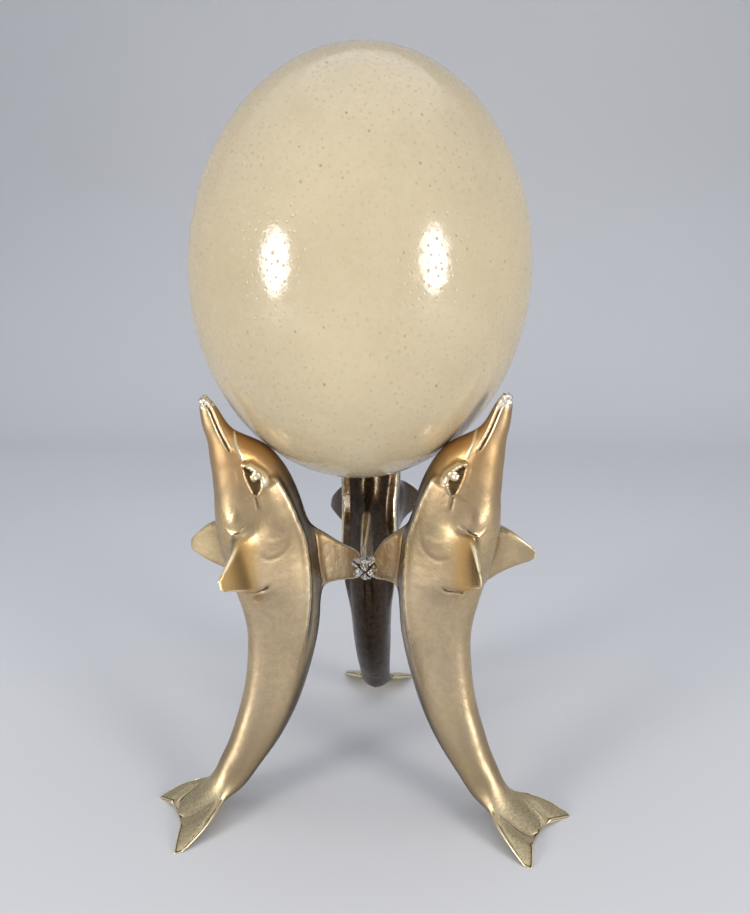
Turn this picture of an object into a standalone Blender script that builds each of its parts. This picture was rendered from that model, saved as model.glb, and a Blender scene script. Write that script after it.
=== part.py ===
"""Ostrich egg resting on a cast brass stand of three leaping dolphins.

The tables are in millimetres, in a dolphin's own frame: X points away from the stand's
axis, Y to the dolphin's side and Z up. Each dolphin stands on the tips of its flukes,
holds the egg against its forehead, and is brazed to the others at its back fin.
"""

from collections import namedtuple
import math

import bpy
import bmesh
from mathutils import Vector
import numpy as np

MM = 0.001

# The egg
EGG_HALF_WIDTH = 63.5
EGG_HALF_LENGTH = 78.6
EGG_CENTRE = (0.1, 0.1, 203.0)
EGG_LEAN = math.radians(2.0)
EGG_TAPER = -0.009
EGG_SEGMENTS = 28
EGG_RINGS = 14

# The stand
STAND_AXIS = (-1.2, -9.8)
# Each dolphin's bearing round the axis in degrees, its height beside the pattern's and how
# much further than the pattern's its back fin reaches
Placing = namedtuple("Placing", "bearing height fin_reach")
PLACINGS = {
    "dolphin_left": Placing(210.9, 0.998, 2.5),
    "dolphin_right": Placing(330.1, 1.006, -2.5),
    "dolphin_back": Placing(89.0, 1.001, 0.9),
}

# A cross-section of the body: the points on the back and on the belly, and half its width
Station = namedtuple("Station", "back belly half_width")
BODY = (
    Station((60.6, 159.8), (62.8, 158.2), 1.7),  # tip of the beak
    Station((58.8, 157.9), (62.8, 156.0), 2.5),
    Station((56.4, 154.5), (62.5, 152.2), 3.5),
    Station((54.2, 150.6), (61.7, 147.4), 4.6),  # crease between the beak and the forehead
    Station((51.3, 147.1), (60.3, 142.4), 6.0),
    Station((46.8, 144.4), (59.7, 136.7), 7.8),
    Station((41.0, 141.4), (59.1, 131.2), 9.2),  # forehead, where the egg rests
    Station((35.8, 136.9), (58.9, 126.6), 10.2),
    Station((31.4, 130.8), (58.6, 122.4), 11.0),  # eyes
    Station((28.0, 123.8), (58.7, 117.2), 11.5),
    Station((25.4, 116.1), (58.3, 109.5), 11.7),  # front of the flippers
    Station((23.0, 107.6), (56.5, 99.4), 11.6),  # top of the back fin
    Station((21.2, 98.6), (53.6, 90.2), 11.3),
    Station((19.6, 89.5), (51.1, 82.5), 10.9),  # back of the flippers
    Station((18.9, 80.4), (49.4, 76.5), 10.4),  # foot of the back fin
    Station((19.4, 69.0), (48.1, 69.6), 10.0),
    Station((21.5, 58.0), (48.0, 61.4), 9.4),
    Station((25.0, 46.7), (48.8, 52.6), 8.9),
    Station((29.8, 35.4), (50.7, 42.7), 8.4),
    Station((37.0, 24.0), (53.9, 32.6), 7.8),
    Station((44.9, 15.2), (57.3, 24.0), 7.2),
    Station((52.0, 7.8), (61.4, 17.2), 6.8),
    Station((59.1, 5.2), (64.3, 12.0), 7.0),  # front of the flukes
    Station((64.5, 3.4), (68.1, 8.0), 7.4),
    Station((70.8, 2.0), (72.8, 4.7), 7.0),
    Station((77.1, 1.1), (77.8, 2.7), 5.5),  # notch between the flukes
)

# Corners of every cross-section, in degrees from the back round to the +Y side
RING_ANGLES = (-15, 15, 55, 98, 140, 168, 192, 220, 262, 305)
BACK_STRIP = 0
FLUKE_STRIPS = {1: 2, -1: 8}
FLIPPER_STRIPS = {1: 3, -1: 7}

# A cross-section of a fin: its leading and trailing edges and its thickness
FinSection = namedtuple("FinSection", "lead trail thickness")
BACK_FIN = (
    FinSection((16.5, 0, 104.3), (14.8, 0, 83.0), 4.2),
    FinSection((10.3, 0, 99.2), (9.5, 0, 83.0), 3.0),
    FinSection((3.1, 0, 93.4), (3.1, 0, 82.2), 2.4),
)
FLIPPERS = {
    1: (
        FinSection((55.3, 12.2, 109.0), (50.0, 11.2, 88.2), 4.2),
        FinSection((58.1, 17.6, 105.3), (54.3, 16.8, 91.4), 2.4),
        FinSection((64.5, 22.0, 98.4), (63.8, 22.7, 95.0), 1.4),
    ),
    -1: (
        FinSection((55.5, -12.0, 110.8), (48.5, -11.0, 90.0), 4.2),
        FinSection((59.0, -17.2, 107.7), (57.3, -14.6, 92.8), 2.4),
        FinSection((63.3, -22.3, 101.1), (63.8, -22.1, 98.1), 1.4),
    ),
}
FLUKES = {
    1: (
        FinSection((65.6, 12.2, 7.2), (78.6, 7.3, 2.0), 3.2),
        FinSection((71.8, 16.3, 4.2), (80.2, 11.8, 1.0), 1.9),
        FinSection((80.2, 19.0, 0.5), (83.0, 18.2, -0.3), 1.6),
    ),
    -1: (
        FinSection((65.0, -11.0, 7.3), (78.4, -7.1, 2.0), 3.2),
        FinSection((71.0, -14.3, 4.6), (79.6, -11.0, 1.1), 1.9),
        FinSection((79.0, -17.1, 0.5), (81.7, -16.4, -0.3), 1.6),
    ),
}
FLIPPER_FACING = (0.65, -0.73, -0.20)
FLUKE_FACING = (-0.36, 0.0, -0.93)
CHORD_SHARES = (0.0, 0.2, 0.8, 1.0)
FIN_STEPS = len(CHORD_SHARES) - 1
FIRST_RING = {"back_fin": 11, "flipper": 10, "fluke": 22}

# The braze that joins the three back fins
JOINT_CENTRE = (2.8, 0.1, 86.9)
JOINT_RADIUS = 3.5
JOINT_HALF_HEIGHT = 4.7

FLOOR_CUT_DEPTH = 4.0
FLOOR_CUT_SIZE = 260.0

BRASS = {"colour": (0.55, 0.40, 0.20, 1), "roughness": 0.3, "metallic": 1.0}
SOLDER = {"colour": (0.70, 0.66, 0.56, 1), "roughness": 0.25, "metallic": 1.0}
SHELL = {"colour": (0.78, 0.68, 0.46, 1), "roughness": 0.25, "metallic": 0.0}


def clear_scene():
    for thing in list(bpy.data.objects):
        bpy.data.objects.remove(thing, do_unlink=True)


def make_material(name, finish):
    material = bpy.data.materials.new(name)
    material.use_nodes = True
    shader = material.node_tree.nodes["Principled BSDF"]
    shader.inputs["Base Color"].default_value = finish["colour"]
    shader.inputs["Roughness"].default_value = finish["roughness"]
    shader.inputs["Metallic"].default_value = finish["metallic"]
    return material


def make_object(name, mesh, material, parent=None):
    thing = bpy.data.objects.new(name, mesh)
    bpy.context.scene.collection.objects.link(thing)
    if not mesh.materials:
        mesh.materials.append(material)
    thing.parent = parent
    return thing


def interpolation_matrix(count, closed):
    """The weights by which a smooth surface averages its cage along one direction."""
    weights = np.zeros((count, count))
    for row in range(count):
        weights[row, row] = 4 / 6
        weights[row, (row - 1) % count] = 1 / 6
        weights[row, (row + 1) % count] = 1 / 6
    if not closed:
        for end in (0, count - 1):
            weights[end] = 0
            weights[end, end] = 1
    return weights


def body_cage():
    """Cage points, ring by ring, of the smooth surface that passes through the stations."""
    angles = np.radians(RING_ANGLES)
    surface = np.zeros((len(BODY), len(RING_ANGLES), 3))
    for ring, station in zip(surface, BODY):
        back = np.array([station.back[0], 0, station.back[1]])
        belly = np.array([station.belly[0], 0, station.belly[1]])
        side = np.array([0, station.half_width, 0])
        middle = (back + belly) / 2
        ring[:] = middle + np.outer(np.cos(angles), back - middle) + np.outer(np.sin(angles), side)
    along = np.linalg.inv(interpolation_matrix(len(BODY), closed=False))
    around = np.linalg.inv(interpolation_matrix(len(RING_ANGLES), closed=True))
    return np.einsum("ij,jkl,mk->iml", along, surface, around)


def end_cap(ring):
    """Four faces that close the first or the last ring, laid across from side to side."""
    left = (0, 9, 8, 7, 6)
    right = (1, 2, 3, 4, 5)
    return [
        [ring[left[i]], ring[right[i]], ring[right[i + 1]], ring[left[i + 1]]]
        for i in range(len(left) - 1)
    ]


def section_points(section, facing):
    """The corners of one fin section: a pair, on its two sides, at each share of its chord."""
    lead = np.array(section.lead, float)
    trail = np.array(section.trail, float)
    half = np.array(facing) / np.linalg.norm(facing) * section.thickness / 2
    return [
        (lead + (trail - lead) * share - half, lead + (trail - lead) * share + half)
        for share in CHORD_SHARES
    ]


def rim(grid):
    """The pairs' corners in order round the section."""
    return [pair[0] for pair in grid] + [pair[1] for pair in reversed(grid)]


def grow_fin(points, faces, root, sections, facing):
    """Grows a fin out of the open strip of body faces between the root's pairs of corners."""
    inner = root
    for section in sections:
        outer = []
        for pair in section_points(section, facing):
            outer.append((len(points), len(points) + 1))
            points.extend(pair)
        inner_rim, outer_rim = rim(inner), rim(outer)
        for i in range(len(inner_rim)):
            j = (i + 1) % len(inner_rim)
            faces.append([inner_rim[i], inner_rim[j], outer_rim[j], outer_rim[i]])
        inner = outer
    for first, second in zip(inner, inner[1:]):
        faces.append([first[0], second[0], second[1], first[1]])


def back_fin(reach):
    """The back fin's sections, drawn out towards the stand's axis."""
    drawn = []
    for step, section in enumerate(BACK_FIN):
        shift = np.array([reach * step / (len(BACK_FIN) - 1), 0, 0])
        drawn.append(section._replace(lead=section.lead - shift, trail=section.trail - shift))
    return drawn


def fins(reach):
    """Each fin as its body strip, its first ring, its sections and its facing."""
    made = [(BACK_STRIP, FIRST_RING["back_fin"], back_fin(reach), (0, 1, 0))]
    for side in (1, -1):
        facing = (FLIPPER_FACING[0], FLIPPER_FACING[1] * side, FLIPPER_FACING[2])
        made.append((FLIPPER_STRIPS[side], FIRST_RING["flipper"], FLIPPERS[side], facing))
        made.append((FLUKE_STRIPS[side], FIRST_RING["fluke"], FLUKES[side], FLUKE_FACING))
    return made


def dolphin_mesh(placing):
    cage = body_cage()
    grown = fins(placing.fin_reach)
    rings, corners = cage.shape[:2]
    points = list(cage.reshape(-1, 3))
    index = np.arange(rings * corners).reshape(rings, corners)
    rooted = {
        (ring, strip)
        for strip, first, _, _ in grown
        for ring in range(first, first + FIN_STEPS)
    }
    faces = end_cap(list(index[0])) + end_cap(list(index[-1]))
    for ring in range(rings - 1):
        for strip in range(corners):
            after = (strip + 1) % corners
            if (ring, strip) not in rooted:
                near, far = index[ring], index[ring + 1]
                faces.append([near[strip], near[after], far[after], far[strip]])
    for strip, first, sections, facing in grown:
        after = (strip + 1) % corners
        root = index[first:first + FIN_STEPS + 1]
        pairs = [(ring[strip], ring[after]) for ring in root]
        if turned(points, pairs, facing):
            facing = tuple(-part for part in facing)
        grow_fin(points, faces, pairs, sections, facing)
    return finished_mesh("dolphin", np.array(points) * (MM, MM, MM * placing.height), faces)


def turned(points, pairs, facing):
    """True where the root's second corners lie against the fin's facing."""
    across = sum((points[second] - points[first] for first, second in pairs), np.zeros(3))
    return float(np.dot(across, facing)) < 0


def finished_mesh(name, points, faces):
    mesh = bpy.data.meshes.new(name)
    shape = bmesh.new()
    corners = [shape.verts.new(point) for point in points]
    for face in faces:
        shape.faces.new([corners[int(i)] for i in face])
    bmesh.ops.recalc_face_normals(shape, faces=shape.faces)
    shape.to_mesh(mesh)
    shape.free()
    mesh.shade_smooth()
    return mesh


def add_floor_cut(parent):
    """A block under the stand, which cuts the fluke tips off flat at the floor."""
    mesh = bpy.data.meshes.new("floor_cut")
    shape = bmesh.new()
    bmesh.ops.create_cube(shape, size=1.0)
    size = Vector((FLOOR_CUT_SIZE, FLOOR_CUT_SIZE, FLOOR_CUT_DEPTH)) * MM
    bmesh.ops.scale(shape, vec=size, verts=shape.verts)
    bmesh.ops.translate(shape, vec=(0, 0, -FLOOR_CUT_DEPTH * MM / 2), verts=shape.verts)
    shape.to_mesh(mesh)
    shape.free()
    cutter = bpy.data.objects.new("floor_cut", mesh)
    bpy.context.scene.collection.objects.link(cutter)
    cutter.parent = parent
    cutter.hide_render = True
    cutter.display_type = "WIRE"
    return cutter


def add_dolphins(parent):
    cutter = add_floor_cut(parent)
    brass = make_material("brass", BRASS)
    for name, placing in PLACINGS.items():
        dolphin = make_object(name, dolphin_mesh(placing), brass, parent)
        dolphin.rotation_euler.z = math.radians(placing.bearing)
        smooth = dolphin.modifiers.new("smooth", "SUBSURF")
        smooth.levels = 1
        smooth.render_levels = 1
        feet = dolphin.modifiers.new("feet", "BOOLEAN")
        feet.operation = "DIFFERENCE"
        feet.object = cutter


def add_egg(parent):
    mesh = bpy.data.meshes.new("egg")
    shape = bmesh.new()
    bmesh.ops.create_uvsphere(shape, u_segments=EGG_SEGMENTS, v_segments=EGG_RINGS, radius=1.0)
    for corner in shape.verts:
        width = EGG_HALF_WIDTH * (1 + EGG_TAPER * corner.co.z)
        corner.co *= Vector((width, width, EGG_HALF_LENGTH)) * MM
    shape.to_mesh(mesh)
    shape.free()
    mesh.shade_smooth()
    egg = make_object("egg", mesh, make_material("eggshell", SHELL), parent)
    egg.location = Vector(EGG_CENTRE) * MM
    egg.rotation_euler.y = EGG_LEAN


def add_joint(parent):
    mesh = bpy.data.meshes.new("fin_joint")
    shape = bmesh.new()
    bmesh.ops.create_icosphere(shape, subdivisions=2, radius=1.0)
    size = Vector((JOINT_RADIUS, JOINT_RADIUS, JOINT_HALF_HEIGHT)) * MM
    bmesh.ops.scale(shape, vec=size, verts=shape.verts)
    shape.to_mesh(mesh)
    shape.free()
    mesh.shade_smooth()
    joint = make_object("fin_joint", mesh, make_material("solder", SOLDER), parent)
    joint.location = Vector(JOINT_CENTRE) * MM


def main():
    clear_scene()
    stand = bpy.data.objects.new("stand", None)
    bpy.context.scene.collection.objects.link(stand)
    stand.location = (STAND_AXIS[0] * MM, STAND_AXIS[1] * MM, 0)
    add_dolphins(stand)
    add_joint(stand)
    add_egg(stand)


main()
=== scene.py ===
"""Finish of an ostrich egg that rests on a cast brass stand of three leaping dolphins.

The dolphins' tables are in millimetres, in a dolphin's own frame: X points away from the
stand's axis, Y to the dolphin's side and Z up. The stand's tables repeat the construction,
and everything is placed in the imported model's frame.
"""

from collections import namedtuple
import math

import bpy
import bmesh
from mathutils import Matrix, Quaternion, Vector, noise
from mathutils.bvhtree import BVHTree
from mathutils.geometry import delaunay_2d_cdt
import numpy as np


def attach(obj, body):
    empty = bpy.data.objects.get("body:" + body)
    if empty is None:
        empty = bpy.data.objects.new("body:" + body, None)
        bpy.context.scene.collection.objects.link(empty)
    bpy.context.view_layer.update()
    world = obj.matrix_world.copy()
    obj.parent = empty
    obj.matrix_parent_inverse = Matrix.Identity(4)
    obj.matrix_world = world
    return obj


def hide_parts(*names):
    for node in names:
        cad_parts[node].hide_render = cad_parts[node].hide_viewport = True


MM = 0.001
BODY = "root"

# The egg
EGG_HALF_WIDTH = 63.5
EGG_HALF_LENGTH = 78.6
EGG_HALF = np.array([EGG_HALF_WIDTH, EGG_HALF_WIDTH, EGG_HALF_LENGTH])
EGG_CENTRE = (0.1, 0.1, 203.0)
EGG_TURN = np.array(Matrix.Rotation(math.radians(2.0), 3, "Y"))
EGG_TAPER = -0.009
PIT_COUNT = 7300
PIT_CORNERS = 6
PIT_RADIUS = (0.36, 0.80)
PIT_STEEPNESS = (0.16, 0.30)
PIT_FLOOR_SHARE = 0.48
PIT_SHAKE = 0.34
SHELL_WAVES = ((0.055, 0.040), (0.16, 0.008))  # waves per millimetre and their height
GOLDEN_ANGLE = math.pi * (3 - math.sqrt(5))

# The stand
STAND_AXIS = (-1.2, -9.8)
# Each dolphin's bearing round the axis in degrees, its height beside the pattern's, how much
# further its back fin reaches, where the painted shade on its inner side begins and how dark that is
Placing = namedtuple("Placing", "bearing height fin_reach bare darkness")
PLACINGS = {
    "dolphin_left": Placing(210.9, 0.998, 2.5, 0.42, 0.80),
    "dolphin_right": Placing(330.1, 1.006, -2.5, 0.42, 0.80),
    "dolphin_back": Placing(89.0, 1.001, 0.9, -0.45, 1.0),
}

# Each cross-section of the body: its points on the back and on the belly, and half its width
STATIONS = (
    ((60.6, 159.8), (62.8, 158.2), 1.7),  # tip of the beak
    ((58.8, 157.9), (62.8, 156.0), 2.5),
    ((56.4, 154.5), (62.5, 152.2), 3.5),
    ((54.2, 150.6), (61.7, 147.4), 4.6),  # crease between the beak and the forehead
    ((51.3, 147.1), (60.3, 142.4), 6.0),
    ((46.8, 144.4), (59.7, 136.7), 7.8),
    ((41.0, 141.4), (59.1, 131.2), 9.2),  # forehead, where the egg rests
    ((35.8, 136.9), (58.9, 126.6), 10.2),
    ((31.4, 130.8), (58.6, 122.4), 11.0),  # eyes
    ((28.0, 123.8), (58.7, 117.2), 11.5),
    ((25.4, 116.1), (58.3, 109.5), 11.7),  # front of the flippers
    ((23.0, 107.6), (56.5, 99.4), 11.6),  # top of the back fin
    ((21.2, 98.6), (53.6, 90.2), 11.3),
    ((19.6, 89.5), (51.1, 82.5), 10.9),  # back of the flippers
    ((18.9, 80.4), (49.4, 76.5), 10.4),  # foot of the back fin
    ((19.4, 69.0), (48.1, 69.6), 10.0),
    ((21.5, 58.0), (48.0, 61.4), 9.4),
    ((25.0, 46.7), (48.8, 52.6), 8.9),
    ((29.8, 35.4), (50.7, 42.7), 8.4),
    ((37.0, 24.0), (53.9, 32.6), 7.8),
    ((44.9, 15.2), (57.3, 24.0), 7.2),
    ((52.0, 7.8), (61.4, 17.2), 6.8),
    ((59.1, 5.2), (64.3, 12.0), 7.0),  # front of the flukes
    ((64.5, 3.4), (68.1, 8.0), 7.4),
    ((70.8, 2.0), (72.8, 4.7), 7.0),
    ((77.1, 1.1), (77.8, 2.7), 5.5),  # notch between the flukes
)

# Corners of every cross-section, in degrees from the back round to the +Y side
RING_ANGLES = (-15, 15, 55, 98, 140, 168, 192, 220, 262, 305)
BACK_STRIP = 0
FLUKE_STRIPS = {1: 2, -1: 8}
FLIPPER_STRIPS = {1: 3, -1: 7}

# Each cross-section of a fin: its leading edge, its trailing edge and its thickness
BACK_FIN = (
    ((16.5, 0, 104.3), (14.8, 0, 83.0), 4.2),
    ((10.3, 0, 99.2), (9.5, 0, 83.0), 3.0),
    ((3.1, 0, 93.4), (3.1, 0, 82.2), 2.4),
)
FLIPPERS = {
    1: (
        ((55.3, 12.2, 109.0), (50.0, 11.2, 88.2), 4.2),
        ((58.1, 17.6, 105.3), (54.3, 16.8, 91.4), 2.4),
        ((64.5, 22.0, 98.4), (63.8, 22.7, 95.0), 1.4),
    ),
    -1: (
        ((55.5, -12.0, 110.8), (48.5, -11.0, 90.0), 4.2),
        ((59.0, -17.2, 107.7), (57.3, -14.6, 92.8), 2.4),
        ((63.3, -22.3, 101.1), (63.8, -22.1, 98.1), 1.4),
    ),
}
FLUKES = {
    1: (
        ((65.6, 12.2, 7.2), (78.6, 7.3, 2.0), 3.2),
        ((71.8, 16.3, 4.2), (80.2, 11.8, 1.0), 1.9),
        ((80.2, 19.0, 0.5), (83.0, 18.2, -0.3), 1.6),
    ),
    -1: (
        ((65.0, -11.0, 7.3), (78.4, -7.1, 2.0), 3.2),
        ((71.0, -14.3, 4.6), (79.6, -11.0, 1.1), 1.9),
        ((79.0, -17.1, 0.5), (81.7, -16.4, -0.3), 1.6),
    ),
}
FLIPPER_FACING = (0.65, -0.73, -0.20)
FLUKE_FACING = (-0.36, 0.0, -0.93)
CHORD_SHARES = (0.0, 0.2, 0.8, 1.0)
FIN_STEPS = len(CHORD_SHARES) - 1
FIRST_RING = {"back_fin": 11, "flipper": 10, "fluke": 22}
SKIN_LEVELS = 4

# Lines worked into the skin of each side, from their first point to their last
MOUTH = ((62.0, 0.8, 158.0), (60.0, 3.1, 154.4), (58.7, 4.0, 150.6), (57.2, 5.3, 146.0),
         (55.3, 7.0, 141.4), (53.7, 8.0, 138.4))
FOREHEAD_CREASE = ((50.8, 1.5, 147.4), (51.8, 3.9, 145.8), (52.2, 7.0, 142.6),
                   (51.5, 8.2, 139.7), (50.5, 8.9, 136.0))
EYE_TAIL = ((46.6, 10.1, 123.6), (45.9, 10.1, 120.3), (45.3, 10.2, 117.6))
JAW_FOLD = ((53.5, 8.2, 134.4), (52.6, 8.6, 130.9), (51.4, 9.0, 127.2))
FLANK_KEEL = ((41.4, 9.5, 130.5), (39.4, 9.3, 127.0), (36.3, 9.0, 120.5), (33.3, 8.6, 112.8),
              (30.5, 8.2, 105.5), (29.0, 8.2, 97.0), (28.4, 8.7, 87.5), (28.6, 9.0, 76.5),
              (30.0, 9.0, 63.0), (32.2, 8.6, 51.0))
THROAT_FOLD = ((48.2, 9.8, 115.6), (50.5, 9.3, 112.9), (53.4, 9.3, 110.4), (55.4, 7.4, 111.4),
               (57.0, 4.6, 114.2))
FLIPPER_NOTCH = ((51.8, 8.5, 87.4), (48.2, 11.4, 88.4), (44.6, 11.9, 89.0), (42.6, 11.9, 91.0))
FIN_FOOT = ((21.6, 2.4, 105.4), (20.6, 3.1, 99.8), (20.0, 3.4, 93.0), (18.8, 2.9, 82.4))

EYE_FRONT = (50.4, 9.1, 135.0)
EYE_REAR = (46.5, 10.1, 123.4)
UPPER_LID = 4.0
LOWER_LID = 0.9
EYEBALL = (46.6, 10.0, 130.3)
EYEBALL_RADIUS = 1.85
EYEBALL_HEIGHT = 1.70
SOCKET_DEPTH = 1.05
SOCKET_CRUMPLE = 0.45
BROW_HEIGHT = (1.95, 0.45)  # at the front and at the rear corner of the eye
BROW_WIDTH = (4.4, 3.0)

SHOULDER = (41.8, 11.5, 107.0)
SHOULDER_RADIUS = 6.4
THROAT_BULGE = (54.2, 8.2, 114.6)
FLUKE_UP = (0.36, 0, 0.93)
FLUKE_ROUNDS = 260

# The braze that joins the three back fins
JOINT_CENTRE = (1.5, -1.0, 86.9)
JOINT_RADIUS = 5.0
JOINT_HALF_HEIGHT = 4.7
JOINT_LEVELS = 6
SEED = 41

# The view
CAMERA_AIM = (-1.2, -9.8, 140.3)
CAMERA_DISTANCE = 290.3
CAMERA_HEADING = math.radians(5.52)
CAMERA_RISE = math.radians(9.08)
CAMERA_ROLL = math.radians(-0.46)
CAMERA_LENS = 29.32
CAMERA_SHIFT = (0.0152, -0.0233)


# -------- the dolphins' shape

def unit(vectors):
    """The vectors, or the one vector, at a length of 1."""
    return vectors / np.linalg.norm(vectors, axis=-1, keepdims=True)


def interpolation_matrix(count, closed):
    """The weights by which a smooth surface averages its cage along one direction."""
    weights = np.zeros((count, count))
    for row in range(count):
        weights[row, row] = 4 / 6
        weights[row, (row - 1) % count] = 1 / 6
        weights[row, (row + 1) % count] = 1 / 6
    if not closed:
        for end in (0, count - 1):
            weights[end] = 0
            weights[end, end] = 1
    return weights


def body_cage():
    """Cage points, ring by ring, of the smooth surface that passes through the stations."""
    angles = np.radians(RING_ANGLES)
    surface = np.zeros((len(STATIONS), len(RING_ANGLES), 3))
    for ring, (upper, lower, half_width) in zip(surface, STATIONS):
        back = np.array([upper[0], 0, upper[1]])
        belly = np.array([lower[0], 0, lower[1]])
        side = np.array([0, half_width, 0])
        middle = (back + belly) / 2
        ring[:] = middle + np.outer(np.cos(angles), back - middle) + np.outer(np.sin(angles), side)
    along = np.linalg.inv(interpolation_matrix(len(STATIONS), closed=False))
    around = np.linalg.inv(interpolation_matrix(len(RING_ANGLES), closed=True))
    return np.einsum("ij,jkl,mk->iml", along, surface, around)


def end_cap(ring):
    """Four faces that close the first or the last ring, laid across from side to side."""
    left = (0, 9, 8, 7, 6)
    right = (1, 2, 3, 4, 5)
    return [
        [ring[left[i]], ring[right[i]], ring[right[i + 1]], ring[left[i + 1]]]
        for i in range(len(left) - 1)
    ]


def section_points(section, facing):
    """The corners of one fin section: a pair, on its two sides, at each share of its chord."""
    lead = np.array(section[0], float)
    trail = np.array(section[1], float)
    half = unit(np.array(facing)) * section[2] / 2
    return [
        (lead + (trail - lead) * share - half, lead + (trail - lead) * share + half)
        for share in CHORD_SHARES
    ]


def rim(grid):
    """The pairs' corners in order round the section."""
    return [pair[0] for pair in grid] + [pair[1] for pair in reversed(grid)]


def grow_fin(points, faces, root, sections, facing):
    """Grows a fin out of the open strip of body faces between the root's pairs of corners."""
    inner = root
    for section in sections:
        outer = []
        for pair in section_points(section, facing):
            outer.append((len(points), len(points) + 1))
            points.extend(pair)
        inner_rim, outer_rim = rim(inner), rim(outer)
        for i in range(len(inner_rim)):
            j = (i + 1) % len(inner_rim)
            faces.append([inner_rim[i], inner_rim[j], outer_rim[j], outer_rim[i]])
        inner = outer
    for first, second in zip(inner, inner[1:]):
        faces.append([first[0], second[0], second[1], first[1]])


def fins():
    """Each fin as its body strip, its first ring, its sections and its facing."""
    made = [(BACK_STRIP, FIRST_RING["back_fin"], BACK_FIN, (0, 1, 0))]
    for side in (1, -1):
        facing = (FLIPPER_FACING[0], FLIPPER_FACING[1] * side, FLIPPER_FACING[2])
        made.append((FLIPPER_STRIPS[side], FIRST_RING["flipper"], FLIPPERS[side], facing))
        made.append((FLUKE_STRIPS[side], FIRST_RING["fluke"], FLUKES[side], FLUKE_FACING))
    return made


def turned(points, pairs, facing):
    """True where the root's second corners lie against the fin's facing."""
    across = sum((points[second] - points[first] for first, second in pairs), np.zeros(3))
    return float(np.dot(across, facing)) < 0


def dolphin_cage():
    """The points and faces of the cage that the smooth skin is drawn from."""
    cage = body_cage()
    rings, corners = cage.shape[:2]
    points = list(cage.reshape(-1, 3))
    index = np.arange(rings * corners).reshape(rings, corners)
    rooted = {
        (ring, strip)
        for strip, first, _, _ in fins()
        for ring in range(first, first + FIN_STEPS)
    }
    faces = end_cap(list(index[0])) + end_cap(list(index[-1]))
    for ring in range(rings - 1):
        for strip in range(corners):
            after = (strip + 1) % corners
            if (ring, strip) in rooted:
                continue
            upper, lower = index[ring], index[ring + 1]
            faces.append([upper[strip], upper[after], lower[after], lower[strip]])
    for strip, first, sections, facing in fins():
        after = (strip + 1) % corners
        rows = range(first, first + FIN_STEPS + 1)
        pairs = [(index[ring, strip], index[ring, after]) for ring in rows]
        if turned(points, pairs, facing):
            facing = tuple(-part for part in facing)
        grow_fin(points, faces, pairs, sections, facing)
    return points, faces


def new_object(name, data):
    made = bpy.data.objects.new(name, data)
    bpy.context.scene.collection.objects.link(made)
    return made


def smooth_skin(points, faces, levels):
    """The subdivided surface of a cage, as a mesh."""
    mesh = bpy.data.meshes.new("dolphin_cage")
    shape = bmesh.new()
    corners = [shape.verts.new(point) for point in points]
    for face in faces:
        shape.faces.new([corners[int(i)] for i in face])
    bmesh.ops.recalc_face_normals(shape, faces=shape.faces)
    shape.to_mesh(mesh)
    shape.free()
    cage = new_object("dolphin_cage", mesh)
    smooth = cage.modifiers.new("smooth", "SUBSURF")
    smooth.levels = levels
    smooth.render_levels = levels
    graph = bpy.context.evaluated_depsgraph_get()
    skin = bpy.data.meshes.new_from_object(cage.evaluated_get(graph))
    bpy.data.objects.remove(cage)
    bpy.data.meshes.remove(mesh)
    return skin


def read_vectors(items, field):
    values = np.empty(len(items) * 3, np.float32)
    items.foreach_get(field, values)
    return values.reshape(-1, 3).astype(float)


def read_points(mesh):
    return read_vectors(mesh.vertices, "co")


def read_normals(mesh):
    return read_vectors(mesh.vertex_normals, "vector")


def write_points(mesh, points):
    mesh.vertices.foreach_set("co", np.asarray(points, np.float32).ravel())
    mesh.update()


# -------- sculpting tools

class Clay:
    """A skin being worked: its points and facings, and each one's rise, its grime with painted shade
    and its painted highlight.
    """

    def __init__(self, mesh):
        self.points = read_points(mesh)
        self.normals = read_normals(mesh)
        self.rise = np.zeros(len(self.points))
        self.dirt_and_shade = np.zeros(len(self.points))
        self.painted_highlight = np.zeros(len(self.points))
        faces = [list(face.vertices) for face in mesh.polygons]
        self.tree = BVHTree.FromPolygons(self.points.tolist(), faces)

    def nearest(self, place, side=1):
        """The point of the skin nearest a place, or its mirror image, and its normal."""
        mirror = Vector((place[0], place[1] * side, place[2]))
        point, normal, _, _ = self.tree.find_nearest(mirror)
        return np.array(point), np.array(normal)

    # Adds painted highlight where the values are higher.
    def add_painted_highlight(self, values):
        self.painted_highlight = np.maximum(self.painted_highlight, values)


def ramp(value, low, high):
    """0 below low, 1 above high and smooth between them; low may be the larger."""
    share = np.clip((value - low) / (high - low), 0, 1)
    return share * share * (3 - 2 * share)


def hump(value, width):
    return np.exp(-((value / width) ** 2))


def mirrored(stops, side):
    return [(x, y * side, z) for x, y, z in stops]


def laid_line(clay, stops, step=0.3):
    """A smooth line through the stops, laid on the skin: its points and the skin's normals."""
    stops = np.array(stops, float)
    ends = np.vstack([2 * stops[0] - stops[1], stops, 2 * stops[-1] - stops[-2]])
    line = []
    for i in range(1, len(ends) - 2):
        before, first, second, after = ends[i - 1:i + 3]
        count = max(2, int(np.linalg.norm(second - first) / step))
        for share in np.arange(count) / count:
            line.append(0.5 * (
                2 * first + (second - before) * share
                + (2 * before - 5 * first + 4 * second - after) * share ** 2
                + (3 * first - before - 3 * second + after) * share ** 3))
    line.append(stops[-1])
    laid = [clay.nearest(place) for place in line]
    return np.array([place for place, _ in laid]), np.array([normal for _, normal in laid])


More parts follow.
